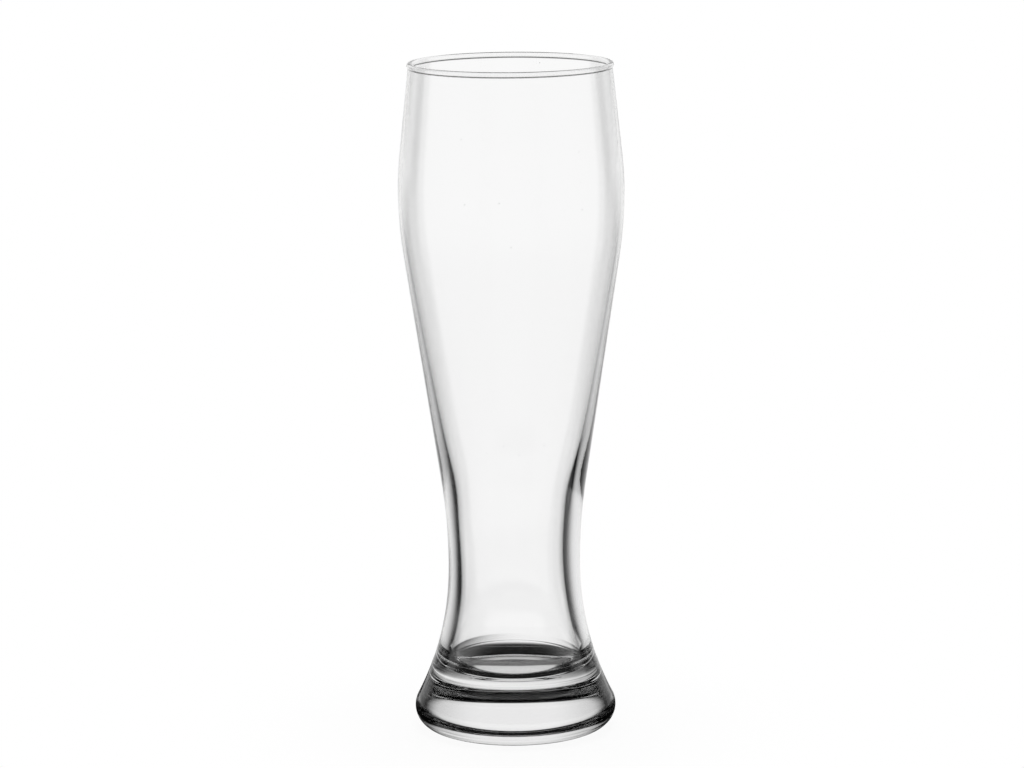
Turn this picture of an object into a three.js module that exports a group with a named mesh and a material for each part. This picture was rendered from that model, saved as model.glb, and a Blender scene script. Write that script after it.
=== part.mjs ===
// A half-litre wheat beer glass, in millimetres, +Z up.
// It is made hot from two gathers of glass: a thin-walled bowl, and a heavy pressed foot welded under it.
// The origin is on the axis of revolution, on the surface that the glass stands on.

import * as THREE from 'three';

// Outside outline, from the rim down
const HEIGHT = 230;
const RIM_DIAMETER = 69; // just under the rim's bead
const SHOULDER_DIAMETER = 76.7; // the widest part of the bowl
const SHOULDER_BELOW_RIM = 43.5;
const WAIST_DIAMETER = 45.3; // the narrowest part of the bowl
const WAIST_HEIGHT = 58;
const FOOT_DIAMETER = 69.2;
const FOOT_EDGE_RADIUS = 7.4; // the round between the flare and the underside
const FLARE_ANGLE = THREE.MathUtils.degToRad(27); // off vertical, where the flare meets that round

// Heights over which the straight cones bend into the shoulder and the waist
const SHOULDER_BEND_ABOVE = 12;
const SHOULDER_BEND_BELOW = 22;
const WAIST_BEND = 28.5;

// Wall: thin and even above the shoulder, thickening down to the waist and then even again
const RIM_WALL = 1;
const SHOULDER_WALL = 1.35;
const WAIST_WALL = 5;
const WALL_BEND_ABOVE_WAIST = 26; // height over which the thickening eases off again
const SWELL = 0.55; // extra wall where the blown glass gathered, just above the waist
const SWELL_HEIGHT = 83;
const SWELL_SPREAD = 12;
const BEAD_PROUD = 0.45; // how far the fire-polished bead stands out from each face of the wall

// Floor of the bore, and the dished weld under it
const FLOOR_HEIGHT = 18.8; // at the foot of the corner's round
const FLOOR_DIP = 1.2; // how far the floor sinks towards the axis
const FLOOR_CORNER_RADIUS = 7.2;
const BOWL_BOTTOM = 4.5; // glass between the floor and the weld, on the axis
const WELD_RISE = 4.2; // the weld's outer edge above the floor

// Underside
const STANDING_RING_WIDTH = 3;
const DISH_DEPTH = 0.5;

// Facets
const TURN_SEGMENTS = 60;
const PROFILE_STEP = 8;
const ARC_STEP = THREE.MathUtils.degToRad(18);

const rimRadius = RIM_DIAMETER / 2;
const shoulderRadius = SHOULDER_DIAMETER / 2;
const waistRadius = WAIST_DIAMETER / 2;
const footRadius = FOOT_DIAMETER / 2;

// The bead is a full round, centred on the wall, and its top is the top of the glass.
const beadRadius = RIM_WALL / 2 + BEAD_PROUD;
const beadCentre = new THREE.Vector2(rimRadius - RIM_WALL / 2, HEIGHT - beadRadius);
const beadOverlap = Math.acos(RIM_WALL / 2 / beadRadius);
const wallTop = beadCentre.y - beadRadius * Math.sin(beadOverlap);

const shoulderHeight = HEIGHT - SHOULDER_BELOW_RIM;

// The flare ends tangent to the foot's round edge, which sets how fast it opens.
const edgeCentre = new THREE.Vector2(footRadius - FOOT_EDGE_RADIUS, FOOT_EDGE_RADIUS);
const flareEndRadius = edgeCentre.x + FOOT_EDGE_RADIUS * Math.cos(FLARE_ANGLE);
const flareEndHeight = edgeCentre.y + FOOT_EDGE_RADIUS * Math.sin(FLARE_ANGLE);
const flareDrop = WAIST_HEIGHT - flareEndHeight;
const flareGrowth = flareEndRadius - waistRadius;
const flarePower = (Math.tan(FLARE_ANGLE) * flareDrop) / flareGrowth;

const weldHeight = FLOOR_HEIGHT + WELD_RISE;
const floorLow = FLOOR_HEIGHT - FLOOR_DIP;
const weldLow = floorLow - BOWL_BOTTOM;
const weldRadius = outerRadius(weldHeight);

// From 0 to 1 as share goes from 0 to 1: a parabola over bendIn, a straight line, a parabola over bendOut.
function eased(share, bendIn, bendOut) {
  const slope = 1 / (1 - bendIn / 2 - bendOut / 2);
  if (share < bendIn) return (slope * share * share) / (2 * bendIn);
  if (share > 1 - bendOut) return 1 - (slope * (1 - share) ** 2) / (2 * bendOut);
  return slope * (share - bendIn / 2);
}

// Outside radius at a height, from the top of the flare's round edge to the bead.
function outerRadius(z) {
  if (z > shoulderHeight) {
    const rise = wallTop - shoulderHeight;
    const inward = eased((z - shoulderHeight) / rise, SHOULDER_BEND_ABOVE / rise, 0);
    return THREE.MathUtils.lerp(shoulderRadius, rimRadius, inward);
  }
  if (z > WAIST_HEIGHT) {
    const rise = shoulderHeight - WAIST_HEIGHT;
    const outward = eased((z - WAIST_HEIGHT) / rise, WAIST_BEND / rise, SHOULDER_BEND_BELOW / rise);
    return THREE.MathUtils.lerp(waistRadius, shoulderRadius, outward);
  }
  return waistRadius + flareGrowth * ((WAIST_HEIGHT - z) / flareDrop) ** flarePower;
}

// Thickness of the wall at a height, measured along the radius.
function wallAt(z) {
  if (z > shoulderHeight) {
    return THREE.MathUtils.mapLinear(z, shoulderHeight, wallTop, SHOULDER_WALL, RIM_WALL);
  }
  if (z > WAIST_HEIGHT) {
    const drop = shoulderHeight - WAIST_HEIGHT;
    const easeOff = WALL_BEND_ABOVE_WAIST / drop;
    const thicker = eased((shoulderHeight - z) / drop, 1 - easeOff, easeOff);
    const swell = SWELL * Math.exp(-(((z - SWELL_HEIGHT) / SWELL_SPREAD) ** 2));
    return THREE.MathUtils.lerp(SHOULDER_WALL, WAIST_WALL, thicker) + swell;
  }
  return WAIST_WALL;
}

function innerRadius(z) {
  return outerRadius(z) - wallAt(z);
}

// Points of a wall between two heights, both included.
function wallPoints(radiusAt, fromZ, toZ) {
  const steps = Math.ceil(Math.abs(toZ - fromZ) / PROFILE_STEP);
  return Array.from({ length: steps + 1 }, (_, i) => {
    const z = THREE.MathUtils.lerp(fromZ, toZ, i / steps);
    return new THREE.Vector2(radiusAt(z), z);
  });
}

// Points of a round edge between two angles, both included. Angle 0 points away from the axis.
function arcPoints(centre, radius, fromAngle, toAngle) {
  const steps = Math.ceil(Math.abs(toAngle - fromAngle) / ARC_STEP);
  return Array.from({ length: steps + 1 }, (_, i) => {
    const angle = THREE.MathUtils.lerp(fromAngle, toAngle, i / steps);
    return new THREE.Vector2(radius * Math.cos(angle), radius * Math.sin(angle)).add(centre);
  });
}

// Points of a shallow dish from the axis out to a rim, both included.
function dishPoints(axisZ, rimR, rimZ) {
  const steps = Math.ceil(rimR / PROFILE_STEP) + 1;
  return Array.from({ length: steps + 1 }, (_, i) => {
    const share = i / steps;
    return new THREE.Vector2(rimR * share, THREE.MathUtils.lerp(axisZ, rimZ, share * share));
  });
}

// The weld is one surface, shared point for point by the bowl's bottom and the foot's top.
function weldPoints() {
  return dishPoints(weldLow, weldRadius, weldHeight);
}

// The floor's corner starts where its radius is square to the leaning wall of the bore.
function floorCorner() {
  const SAMPLE = 0.5;
  let lean = 0;
  let top = FLOOR_HEIGHT;
  for (let pass = 0; pass < 10; pass += 1) {
    top = FLOOR_HEIGHT + FLOOR_CORNER_RADIUS * (1 + Math.sin(lean));
    lean = Math.atan((innerRadius(top - SAMPLE) - innerRadius(top + SAMPLE)) / (2 * SAMPLE));
  }
  const floorRadius = innerRadius(top) - FLOOR_CORNER_RADIUS * Math.cos(lean);
  const centre = new THREE.Vector2(floorRadius, FLOOR_HEIGHT + FLOOR_CORNER_RADIUS);
  return { top, floorRadius, points: arcPoints(centre, FLOOR_CORNER_RADIUS, lean, -Math.PI / 2) };
}

// Bowl: weld, outside wall, rim bead, inside wall, floor corner, dipped floor
function bowlProfile() {
  const corner = floorCorner();
  const bead = arcPoints(beadCentre, beadRadius, -beadOverlap, Math.PI + beadOverlap);
  return [
    ...weldPoints(),
    ...wallPoints(outerRadius, weldHeight, wallTop).slice(1),
    ...bead.slice(1),
    ...wallPoints(innerRadius, wallTop, corner.top).slice(1),
    ...corner.points.slice(1),
    ...dishPoints(floorLow, corner.floorRadius, FLOOR_HEIGHT).reverse().slice(1),
  ];
}

// Foot: dished underside, flat standing ring, round edge, flare, weld
function footProfile() {
  const ringInside = edgeCentre.x - STANDING_RING_WIDTH;
  return [
    ...dishPoints(DISH_DEPTH, ringInside, 0),
    ...arcPoints(edgeCentre, FOOT_EDGE_RADIUS, -Math.PI / 2, FLARE_ANGLE),
    ...wallPoints(outerRadius, flareEndHeight, weldHeight).slice(1),
    ...weldPoints().reverse().slice(1),
  ];
}

// Turns a profile of (radius, height) points about the glass's axis.
function revolve(name, profile, material) {
  const geometry = new THREE.LatheGeometry(profile, TURN_SEGMENTS);
  geometry.rotateX(Math.PI / 2);
  const mesh = new THREE.Mesh(geometry, material);
  mesh.name = name;
  return mesh;
}

function clearGlass(opacity) {
  return new THREE.MeshStandardMaterial({
    color: 0xeef1f1,
    roughness: 0.04,
    metalness: 0,
    transparent: true,
    opacity,
  });
}

const glass = new THREE.Group();
glass.add(revolve('bowl', bowlProfile(), clearGlass(0.3)));
glass.add(revolve('foot', footProfile(), clearGlass(0.45)));

export default glass;
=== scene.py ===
"""A tall wheat beer glass, empty, on a white table in soft studio light. Metres, with +Z up."""

import math

import bpy
import numpy as np
from mathutils import Matrix, Vector


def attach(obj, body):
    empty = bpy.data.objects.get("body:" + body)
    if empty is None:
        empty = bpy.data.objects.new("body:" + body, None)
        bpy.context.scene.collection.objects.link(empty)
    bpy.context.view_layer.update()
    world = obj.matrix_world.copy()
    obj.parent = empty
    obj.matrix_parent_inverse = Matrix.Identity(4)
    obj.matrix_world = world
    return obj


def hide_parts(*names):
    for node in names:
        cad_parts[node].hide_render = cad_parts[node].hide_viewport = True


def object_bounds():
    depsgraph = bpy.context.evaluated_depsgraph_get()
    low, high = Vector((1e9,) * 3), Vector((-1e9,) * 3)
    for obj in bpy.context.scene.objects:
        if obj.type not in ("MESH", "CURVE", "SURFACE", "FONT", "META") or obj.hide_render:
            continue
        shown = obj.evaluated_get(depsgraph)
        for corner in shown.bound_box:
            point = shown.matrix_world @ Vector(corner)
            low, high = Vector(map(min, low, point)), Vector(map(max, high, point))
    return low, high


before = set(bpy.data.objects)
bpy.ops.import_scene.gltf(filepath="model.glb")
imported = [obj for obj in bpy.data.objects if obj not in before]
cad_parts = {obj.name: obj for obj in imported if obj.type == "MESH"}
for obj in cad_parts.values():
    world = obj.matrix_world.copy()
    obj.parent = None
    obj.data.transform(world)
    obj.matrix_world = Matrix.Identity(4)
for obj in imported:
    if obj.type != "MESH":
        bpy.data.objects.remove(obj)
cad_low, cad_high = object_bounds()

scene = bpy.context.scene
scene.view_settings.view_transform = "Standard"

# Bowl
# A gather of clear soda-lime glass, blown to a thin wall that thickens towards the waist.
# Its cut rim is melted back into a small round bead.
MM = 0.001
HEIGHT = cad_high.z - cad_low.z
RIM_RADIUS = 34.5 * MM
SHOULDER_RADIUS = 38.35 * MM
SHOULDER_HEIGHT = HEIGHT - 43.5 * MM
SHOULDER_BEND_ABOVE = 12 * MM
SHOULDER_BEND_BELOW = 22 * MM
WAIST_RADIUS = 22.65 * MM
WAIST_HEIGHT = 58 * MM
WAIST_BEND = 28.5 * MM
RIM_WALL = 1.0 * MM
SHOULDER_WALL = 1.35 * MM
WAIST_WALL = 5.0 * MM
WALL_BEND = 26 * MM
SWELL = 0.55 * MM
SWELL_HEIGHT = 83 * MM
SWELL_SPREAD = 12 * MM
BEAD_RADIUS = 0.95 * MM
FLOOR_HEIGHT = 18.8 * MM
FLOOR_DIP = 1.2 * MM
FLOOR_CORNER = 7.2 * MM

bead_middle = np.array([RIM_RADIUS - RIM_WALL / 2, HEIGHT - BEAD_RADIUS])
bead_overlap = math.acos(RIM_WALL / 2 / BEAD_RADIUS)
wall_top = bead_middle[1] - BEAD_RADIUS * math.sin(bead_overlap)


def bell(value, middle, spread):
    """1 at the middle, falling off on both sides as e to the minus square of the distance over the spread."""
    return np.exp(-(((value - middle) / spread) ** 2))


def eased(share, bend_in, bend_out):
    """0 to 1 along a straight slope. Its first bend_in and last bend_out are parabolas that end level."""
    smallest_bend = 1e-9
    slope = 1 / (1 - bend_in / 2 - bend_out / 2)
    start = slope * share**2 / (2 * bend_in)
    end = 1 - slope * (1 - share) ** 2 / (2 * max(bend_out, smallest_bend))
    return np.select([share < bend_in, share > 1 - bend_out], [start, end], slope * (share - bend_in / 2))


def bowl_outside(z):
    """Radius above the waist: an eased cone out to the shoulder, then an eased cone in to the rim."""
    rise = SHOULDER_HEIGHT - WAIST_HEIGHT
    outward = eased((z - WAIST_HEIGHT) / rise, WAIST_BEND / rise, SHOULDER_BEND_BELOW / rise)
    taper = WAIST_RADIUS + (SHOULDER_RADIUS - WAIST_RADIUS) * outward
    neck = wall_top - SHOULDER_HEIGHT
    inward = eased((z - SHOULDER_HEIGHT) / neck, SHOULDER_BEND_ABOVE / neck, 0)
    mouth = SHOULDER_RADIUS + (RIM_RADIUS - SHOULDER_RADIUS) * inward
    return np.where(z > SHOULDER_HEIGHT, mouth, taper)


def bowl_wall(z):
    """Thickness of the wall: even up to the waist, thinning by an eased slope to the shoulder.
    From there it thins in a straight line to the rim. Above the waist it swells by a bell."""
    drop = SHOULDER_HEIGHT - WAIST_HEIGHT
    ease_off = WALL_BEND / drop
    share = np.clip((SHOULDER_HEIGHT - z) / drop, 0, 1)
    thick = SHOULDER_WALL + (WAIST_WALL - SHOULDER_WALL) * eased(share, 1 - ease_off, ease_off)
    thick = thick + SWELL * bell(z, SWELL_HEIGHT, SWELL_SPREAD)
    thin = np.interp(z, [SHOULDER_HEIGHT, wall_top], [SHOULDER_WALL, RIM_WALL])
    return np.where(z > SHOULDER_HEIGHT, thin, thick)


# Foot
# A second gather, pressed into a heavy round foot and welded hot under the bowl.
# It stands on a narrow flat ring with a shallow dish inside it, and the weld shows as a faint line outside.
DEGREE = math.radians(1)
FOOT_RADIUS = 34.6 * MM
EDGE_ROUND = 7.4 * MM
FLARE_ANGLE = 27 * DEGREE
RING_WIDTH = 3 * MM
DISH_DEPTH = 0.5 * MM
WELD_HEIGHT = 23 * MM
WELD_PROUD = 0.05 * MM
WELD_HALF = 0.35 * MM

edge_middle = np.array([FOOT_RADIUS - EDGE_ROUND, EDGE_ROUND])
flare_end = edge_middle + EDGE_ROUND * np.array([math.cos(FLARE_ANGLE), math.sin(FLARE_ANGLE)])
flare_drop = WAIST_HEIGHT - flare_end[1]
flare_growth = flare_end[0] - WAIST_RADIUS
flare_power = math.tan(FLARE_ANGLE) * flare_drop / flare_growth


def plain_outside(z):
    """Outside radius at any height: the bowl above the waist, and below it a power curve out to the foot."""
    below = np.clip((WAIST_HEIGHT - z) / flare_drop, 0, None)
    flare = WAIST_RADIUS + flare_growth * below**flare_power
    return np.where(z > WAIST_HEIGHT, bowl_outside(z), flare)


def welded_outside(z):
    """Outside radius with the weld, which stands out as a low bell-shaped ridge."""
    return plain_outside(z) + WELD_PROUD * bell(z, WELD_HEIGHT, WELD_HALF)


def bore(z):
    """Radius of the hollow: the plain outside less the wall."""
    return plain_outside(z) - bowl_wall(z)


# Glass
# Bowl and foot cool to one body of glass, so one closed surface stands for both.
# The outside has the shape of its mould. The bore is blown, so it wanders a little off the axis.
def arc(middle, radius, start, end, count):
    """Points of a circle about a middle, evenly spaced between two angles."""
    angle = np.linspace(start, end, count)
    return middle + radius * np.stack([np.cos(angle), np.sin(angle)], axis=1)


def wall(radius_at, start, end, count):
    """Points (radius, height) of a wall whose radius is a function of height, evenly spaced in height."""
    z = np.linspace(start, end, count)
    return np.stack([radius_at(z), z], axis=1)


def dish(axis_height, edge_radius, edge_height, count):
    """Points of a parabola from the axis out to an edge."""
    share = np.linspace(0, 1, count)
    return np.stack([edge_radius * share, axis_height + (edge_height - axis_height) * share**2], axis=1)


# The floor's corner is a circle that touches the bore: its first angle is the lean of the wall there.
# The lean and the height where they touch depend on each other, and a few passes settle both.
SAMPLE = 0.5 * MM
corner_lean = 0.0
for _ in range(10):
    corner_top = FLOOR_HEIGHT + FLOOR_CORNER * (1 + math.sin(corner_lean))
    corner_lean = math.atan((bore(corner_top - SAMPLE) - bore(corner_top + SAMPLE)) / (2 * SAMPLE))
corner_middle = np.array(
    [float(bore(corner_top)) - FLOOR_CORNER * math.cos(corner_lean), FLOOR_HEIGHT + FLOOR_CORNER]
)

# Close rings under the rim's bead keep the crease there sharp, and close rings at the weld keep its ridge.
CREASE = 0.1 * MM
WELD_LOW = WELD_HEIGHT - 3 * WELD_HALF
WELD_HIGH = WELD_HEIGHT + 3 * WELD_HALF
ABOVE_WAIST = 80 * MM
underside = np.concatenate([
    dish(DISH_DEPTH, edge_middle[0] - RING_WIDTH, 0, count=10),
    arc(edge_middle, EDGE_ROUND, -math.pi / 2, FLARE_ANGLE, count=32),
])
outside = np.concatenate([
    wall(welded_outside, flare_end[1], WELD_LOW, count=18)[1:],
    wall(welded_outside, WELD_LOW, WELD_HIGH, count=15)[1:],
    wall(welded_outside, WELD_HIGH, ABOVE_WAIST, count=32)[1:],
    wall(welded_outside, ABOVE_WAIST, wall_top - CREASE, count=40)[1:],
    wall(welded_outside, wall_top - CREASE, wall_top, count=3)[1:],
])
rim = arc(bead_middle, BEAD_RADIUS, -bead_overlap, math.pi + bead_overlap, count=26)[1:]
inside = np.concatenate([
    wall(bore, wall_top, wall_top - CREASE, count=3)[1:],
    wall(bore, wall_top - CREASE, ABOVE_WAIST, count=40)[1:],
    wall(bore, ABOVE_WAIST, corner_top, count=32)[1:],
    arc(corner_middle, FLOOR_CORNER, corner_lean, -math.pi / 2, count=24)[1:],
    dish(FLOOR_HEIGHT - FLOOR_DIP, corner_middle[0], FLOOR_HEIGHT, count=10)[::-1][1:],
])


def turned(name, profile, sideways, segments):
    """A profile of (radius, height) points turned about the axis, from pole to pole.
    Each ring is then moved sideways by its own (x, y)."""
    turn = np.linspace(0, 2 * math.pi, segments, endpoint=False)
    rings = profile[1:-1]
    x = rings[:, :1] * np.cos(turn) + sideways[1:-1, :1]
    y = rings[:, :1] * np.sin(turn) + sideways[1:-1, 1:]
    z = np.repeat(rings[:, 1:], segments, axis=1)
    points = np.stack([x, y, z], axis=2).reshape(-1, 3)
    poles = np.column_stack([sideways[[0, -1]], profile[[0, -1], 1]])
    column = np.arange(segments)
    following = np.roll(column, -1)
    row = np.arange(len(rings) - 1)[:, None] * segments
    above = row + segments
    sides = np.stack([row + column, row + following, above + following, above + column], axis=2)
    last = (len(rings) - 1) * segments
    low = np.stack([np.full(segments, len(points)), following, column], axis=1)
    high = np.stack([np.full(segments, len(points) + 1), last + column, last + following], axis=1)
    mesh = bpy.data.meshes.new(name)
    faces = sides.reshape(-1, 4).tolist() + low.tolist() + high.tolist()
    mesh.from_pydata(np.concatenate([points, poles]).tolist(), [], faces)
    mesh.polygons.foreach_set("use_smooth", np.ones(len(mesh.polygons), dtype=bool))
    mesh.update()
    piece = bpy.data.objects.new(name, mesh)
    scene.collection.objects.link(piece)
    return piece


# The bore bends to one side just above the waist, square to the line of the main view.
VIEW_TURN = 16 * DEGREE
WANDER = 0.65 * MM
WANDER_HEIGHT = 68 * MM
WANDER_SPREAD = 22 * MM
to_right = np.array([math.cos(VIEW_TURN), math.sin(VIEW_TURN)])
profile = np.concatenate([underside, outside, rim, inside])
wander = -WANDER * bell(profile[:, 1], WANDER_HEIGHT, WANDER_SPREAD)
wander[: len(profile) - len(inside)] = 0
glass = turned("glass", profile, wander[:, None] * to_right, segments=360)


class Wire:
    """An output socket in a shader's tree, so that sums on sockets read as sums."""

    def __init__(self, tree, socket):
        self.tree = tree
        self.socket = socket

    @classmethod
    def add(cls, tree, kind, out=0, settings=(), **values):
        """Adds a node, sets its settings and then the values or links of its sockets, and gives one output.
        A socket is named with _ for a space, or by its place as in_0."""
        node = tree.nodes.new(kind)
        for name, setting in dict(settings).items():
            setattr(node, name, setting)
        for name, value in values.items():
            socket = node.inputs[int(name[3:]) if name.startswith("in_") else name.replace("_", " ")]
            if isinstance(value, Wire):
                tree.links.new(value.socket, socket)
            else:
                socket.default_value = value
        return cls(tree, node.outputs[out])

    def maths(self, operation, other=0.0):
        """This value put through a Math node, with a second value where the operation takes one."""
        return Wire.add(self.tree, "ShaderNodeMath", settings={"operation": operation}, in_0=self, in_1=other)

    def __add__(self, other):
        return self.maths("ADD", other)

    def __sub__(self, other):
        return self.maths("SUBTRACT", other)

    def __rsub__(self, other):
        return self.maths("MULTIPLY", -1.0) + other

    def __mul__(self, other):
        return self.maths("MULTIPLY", other)

    def __truediv__(self, other):
        return self.maths("DIVIDE", other)

    def __pow__(self, power):
        return self.maths("POWER", power)

    __radd__ = __add__
    __rmul__ = __mul__

    def ramp(self, start, end, before=0.0, after=1.0):
        """Eases from one level to another, before to after, as this value goes from start to end."""
        return Wire.add(
            self.tree, "ShaderNodeMapRange", settings={"interpolation_type": "SMOOTHSTEP"},
            Value=self, From_Min=start, From_Max=end, To_Min=before, To_Max=after,
        )


def new_tree(material):
    """The empty node tree of a material or a world, and its output node."""
    material.use_nodes = True
    tree = material.node_tree
    tree.nodes.clear()
    kind = "ShaderNodeOutputWorld" if isinstance(material, bpy.types.World) else "ShaderNodeOutputMaterial"
    return tree, tree.nodes.new(kind)


# Clear glass has almost no colour, faint ripples from the mould, and fine rings from the press on the foot.
# It holds a few seeds, which are tiny bubbles, and a fine grey line of painted shade lies in the crease where
# the bead melted over the wall.
# The ring that it stands on is ground.
RELIEF_DEPTH = 0.01 * MM
RIPPLES_PER_METRE = 55.0
PRESS_RING_STRETCH = (15, 15, 800)
PRESS_RING_SHARE = 0.25
SEEDS_PER_METRE = 130.0
SEED_SHADE = 0.3
PAINTED_CREASE_SHADE = 0.2
GROUND_ROUGHNESS = 0.2
GLASS_IOR = 1.52

clear_glass = bpy.data.materials.new("clear_glass")
tree, output = new_tree(clear_glass)
place = Wire.add(tree, "ShaderNodeTexCoord", out="Object")
height = Wire.add(tree, "ShaderNodeSeparateXYZ", out="Z", in_0=place)
ripple = Wire.add(tree, "ShaderNodeTexNoise", Vector=place, Scale=RIPPLES_PER_METRE, Detail=1.0)
stretched = Wire.add(
    tree, "ShaderNodeVectorMath", settings={"operation": "MULTIPLY"}, in_0=place, in_1=PRESS_RING_STRETCH
)
press_rings = Wire.add(tree, "ShaderNodeTexNoise", Vector=stretched, Scale=1.0, Detail=0.0)
relief = ripple + height.ramp(22 * MM, 30 * MM, PRESS_RING_SHARE, 0.0) * press_rings
bump = Wire.add(tree, "ShaderNodeBump", Strength=1.0, Distance=RELIEF_DEPTH, Height=relief)
seed_gap = Wire.add(tree, "ShaderNodeTexVoronoi", Vector=place, Scale=SEEDS_PER_METRE, Randomness=1.0)
seeds = seed_gap.ramp(0.014, 0.032, SEED_SHADE, 1.0)
# Painted shade: a fine grey line darkens the base colour along the crease under the rim's bead.
painted_crease_shade = (height - wall_top).maths("ABSOLUTE").ramp(0.12 * MM, 0.4 * MM, PAINTED_CREASE_SHADE, 1.0)
ground = height.ramp(0.02 * MM, 0.1 * MM, GROUND_ROUGHNESS, 0.06) * height.ramp(0.4 * MM, 0.8 * MM, 1.0, 0.0)
body = Wire.add(
    tree, "ShaderNodeBsdfPrincipled", Base_Color=seeds * painted_crease_shade, Roughness=ground, IOR=GLASS_IOR, Normal=bump,
    Transmission_Weight=1.0,
)
shade = Wire.add(tree, "ShaderNodeBsdfTransparent", Color=(0.9, 0.9, 0.9, 1))
shadow_ray = Wire.add(tree, "ShaderNodeLightPath", out="Is Shadow Ray")
surface = Wire.add(tree, "ShaderNodeMixShader", Fac=shadow_ray, in_1=body, in_2=shade)
tree.links.new(surface.socket, output.inputs["Surface"])
tint = Wire.add(tree, "ShaderNodeVolumeAbsorption", Color=(0.88, 0.88, 0.88, 1), Density=8.0)
tree.links.new(tint.socket, output.inputs["Volume"])
glass.data.materials.append(clear_glass)

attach(glass, "root")
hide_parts("bowl", "foot")

# Table
# A plain white table top. The camera sees it white, with a little of the glass's soft shadow near the foot.
# Through the glass it shows painted light and shade, as if it lay under the dark cards: a painted strip of
# light behind the glass, painted shade at each side of it, and painted light again further round.
TABLE_RADIUS = 3.0
TABLE_SIDES = 96
TABLE_DROP = 0.1 * MM
WHITE = 0.965
FAR_LIGHT = 0.84
CARD_EDGE = (64 * DEGREE, 74 * DEGREE)
STRIP_EDGE = (0.044, 0.060)
STRIP_SHIFT = 0.012
STRIP_SHARPNESS = 1.5
WIDENING = 0.33
WIDENS_PAST = 0.095
LEAST_DISTANCE = 0.004
FAR_WIDENING = 3.0
WIDENS_FASTER_PAST = 0.5
DIM = 0.25
DIM_DISTANCE = 0.28
DIM_SPREAD = 0.2
CARD_REACH = 8 * DEGREE
PAINTED_POOL_LEVEL = 0.7
PAINTED_RING_LEVEL = 0.5
DARKEST_TABLE = 0.01

turn = np.linspace(0, 2 * math.pi, TABLE_SIDES, endpoint=False)
table_rim = np.stack(
    [TABLE_RADIUS * np.cos(turn), TABLE_RADIUS * np.sin(turn), np.full(TABLE_SIDES, -TABLE_DROP)], axis=1
)
table_mesh = bpy.data.meshes.new("table")
table_mesh.from_pydata(table_rim.tolist(), [], [list(range(TABLE_SIDES))])
table = bpy.data.objects.new("table", table_mesh)
scene.collection.objects.link(table)


def along_main_line(tree, place):
    """How far a place or a direction lies along the fixed line of the main view, and across it.
    Then its angle off that line, which is the arc tangent of across over along, without its sign."""
    east = Wire.add(tree, "ShaderNodeSeparateXYZ", out="X", in_0=place)
    north = Wire.add(tree, "ShaderNodeSeparateXYZ", out="Y", in_0=place)
    ahead = north * math.cos(VIEW_TURN) - east * math.sin(VIEW_TURN)
    aside = east * math.cos(VIEW_TURN) + north * math.sin(VIEW_TURN)
    return ahead, aside, aside.maths("ARCTAN2", ahead).maths("ABSOLUTE")


white_top = bpy.data.materials.new("white_top")
tree, output = new_tree(white_top)
place = Wire.add(tree, "ShaderNodeTexCoord", out="Object")
from_axis = Wire.add(tree, "ShaderNodeVectorMath", out="Value", settings={"operation": "LENGTH"}, in_0=place)
ahead, aside, off_line = along_main_line(tree, place)

# What the camera sees is a white glow, mixed near the foot with paint that takes the shadow.
near_foot = from_axis.ramp(0.03, 0.12, 0.16, 0.0)
paint = Wire.add(tree, "ShaderNodeBsdfDiffuse", Color=(0.92, 0.92, 0.92, 1))
glow = Wire.add(tree, "ShaderNodeEmission", Color=(1, 1, 1, 1), Strength=1.0)
seen = Wire.add(tree, "ShaderNodeMixShader", Fac=near_foot, in_1=glow, in_2=paint)

# The painted strip of light behind the glass is a bell across the main line that widens with distance.
widening = WIDENING * (ahead - WIDENS_PAST).maths("MAXIMUM", LEAST_DISTANCE)
far_widening = FAR_WIDENING * (ahead - WIDENS_FASTER_PAST).maths("MAXIMUM", 0.0) ** 2
across = aside - STRIP_SHIFT
steepness = (across * across / (widening + far_widening)) ** STRIP_SHARPNESS
lit_way = (-1 * steepness).maths("EXPONENT") * ahead.ramp(*STRIP_EDGE)

# Past the cards the table has painted light again, with painted shade dimming it part of the way out. Close
# in, the cards' painted shade reaches further.
dimmer = (-1 * ((from_axis - DIM_DISTANCE) / DIM_SPREAD) ** 2).maths("EXPONENT")
past_card = off_line - from_axis.ramp(0.3, 0.6, CARD_REACH, 0.0)
lit_far = past_card.ramp(*CARD_EDGE) * from_axis.ramp(0.05, 0.11) * (FAR_LIGHT - DIM * dimmer)

# Painted sheen: looked at steeply from above, the top has no sheen, and its painted strip and far light fade
# out.
# A painted pool of light lies under the floor of the glass, and a painted ring of light lies just past the
# foot's far edge.
slant = Wire.add(tree, "ShaderNodeLayerWeight", out="Facing", Blend=0.5)
painted_sheen = slant.ramp(0.20, 0.34)
under_foot = (ahead * ahead + 0.4 * aside * aside) ** 0.5
painted_pool_under_foot = under_foot.ramp(0.011, 0.015, PAINTED_POOL_LEVEL, 0.0)
edge_ring = from_axis.ramp(0.033, 0.035) * from_axis.ramp(0.039, 0.043, PAINTED_RING_LEVEL, 0.0)
painted_ring_past_edge = edge_ring * off_line.ramp(0.2, 0.6, 1.0, 0.0)
# All this painted light and shade sets how bright the table glows for rays that come through the glass.
painted_light_level = ((lit_way + lit_far) * painted_sheen + painted_pool_under_foot + painted_ring_past_edge).maths("MAXIMUM", DARKEST_TABLE)
through = Wire.add(tree, "ShaderNodeEmission", Color=painted_light_level, Strength=WHITE)

camera_ray = Wire.add(tree, "ShaderNodeLightPath", out="Is Camera Ray")
surface = Wire.add(tree, "ShaderNodeMixShader", Fac=camera_ray, in_1=through, in_2=seen)
tree.links.new(surface.socket, output.inputs["Surface"])
table_mesh.materials.append(white_top)

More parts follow.
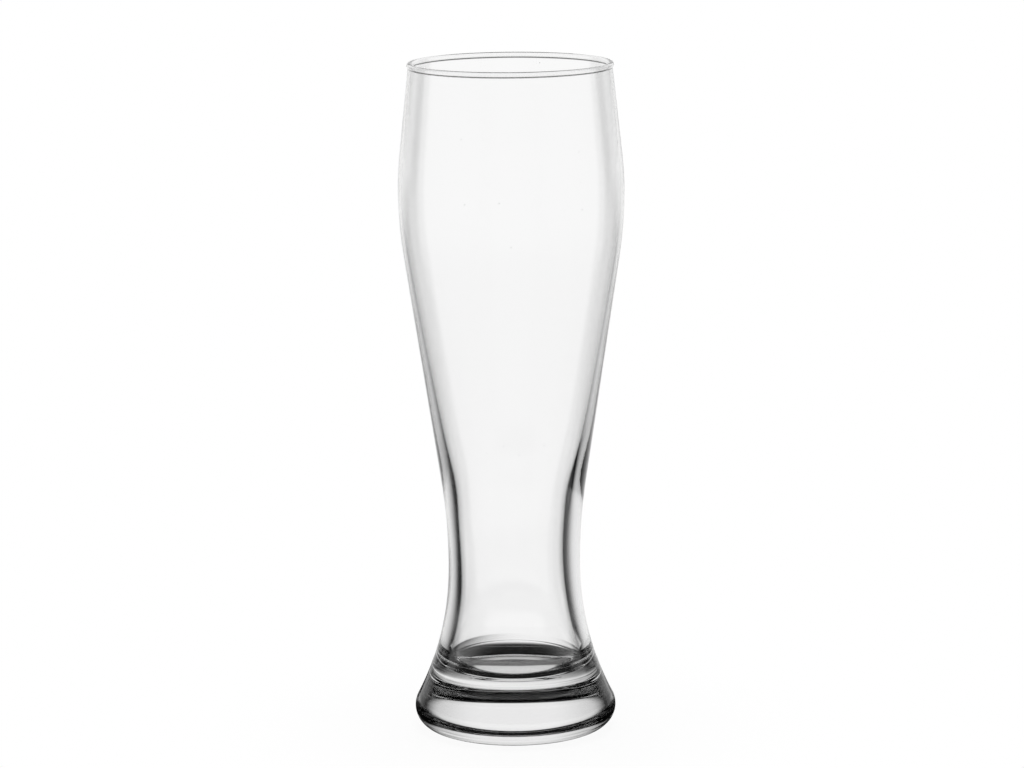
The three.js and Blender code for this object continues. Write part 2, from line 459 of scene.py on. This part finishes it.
# Studio
# A white sweep behind the glass, with a dark card on each side, white again further round and dark overhead.
# The camera sees plain white. The cards give the glass its dark lines and edges.
DARKEST = 0.006
studio = bpy.data.worlds.new("studio")
scene.world = studio
tree, output = new_tree(studio)
direction = Wire.add(tree, "ShaderNodeTexCoord", out="Generated")
ahead, aside, off_line = along_main_line(tree, direction)
rise = Wire.add(tree, "ShaderNodeSeparateXYZ", out="Z", in_0=direction).maths("ARCSINE")
low_middle = off_line.ramp(12 * DEGREE, 34 * DEGREE, 1.0, 0.55) * rise.ramp(0.0, 4 * DEGREE, 1.0, 0.9)
low = low_middle * off_line.ramp(42 * DEGREE, 62 * DEGREE, 1.0, 0.0)
high_middle = off_line.ramp(12 * DEGREE, 44 * DEGREE, 0.97, 0.68)
high = high_middle * off_line.ramp(36 * DEGREE, 54 * DEGREE, 1.0, 0.0)
raised = rise.ramp(2 * DEGREE, 10 * DEGREE)
lit_way = (low + raised * (high - low)) * rise.ramp(34 * DEGREE, 38 * DEGREE, 1.0, 0.0)
lit_far = off_line.ramp(*CARD_EDGE, 0.0, FAR_LIGHT) * rise.ramp(9 * DEGREE, 14 * DEGREE, 1.0, 0.0)
light = DARKEST + lit_way + lit_far
camera_ray = Wire.add(tree, "ShaderNodeLightPath", out="Is Camera Ray")
glow = camera_ray + WHITE * (1 - camera_ray) * light
sky = Wire.add(tree, "ShaderNodeBackground", Color=glow, Strength=1.0)
tree.links.new(sky.socket, output.inputs["Surface"])

# Lamp
# One broad soft lamp overhead, which lights the table and casts the glass's shadow.
LAMP_HEIGHT = 1.3
lamp_data = bpy.data.lights.new("overhead_lamp", "AREA")
lamp_data.shape = "DISK"
lamp_data.size = 0.8
lamp_data.energy = 17
lamp = bpy.data.objects.new("overhead_lamp", lamp_data)
lamp.location = (0, 0, LAMP_HEIGHT)
lamp.visible_camera = False
lamp.visible_glossy = False
lamp.visible_transmission = False
scene.collection.objects.link(lamp)

# Camera
# It looks slightly down from a little over a metre away, and is not quite level.
REACH = 1.330
EYE_HEIGHT = 0.365
SIDESTEP = 0.295 * MM
LOOK_DOWN = 10.446 * DEGREE
ROLL = -0.494 * DEGREE
outward = Vector((math.sin(VIEW_TURN), -math.cos(VIEW_TURN), 0))
backwards = math.cos(LOOK_DOWN) * outward + Vector((0, 0, math.sin(LOOK_DOWN)))
camera_data = bpy.data.cameras.new("camera")
camera_data.sensor_width = 36
camera_data.lens = 139.27
camera = bpy.data.objects.new("camera", camera_data)
camera.rotation_mode = "QUATERNION"
camera.rotation_quaternion = backwards.to_track_quat("Z", "Y") @ Matrix.Rotation(ROLL, 3, "Z").to_quaternion()
camera.location = REACH * outward + Vector((0, 0, EYE_HEIGHT)) - SIDESTEP * Vector((*to_right, 0))
scene.collection.objects.link(camera)
scene.camera = camera
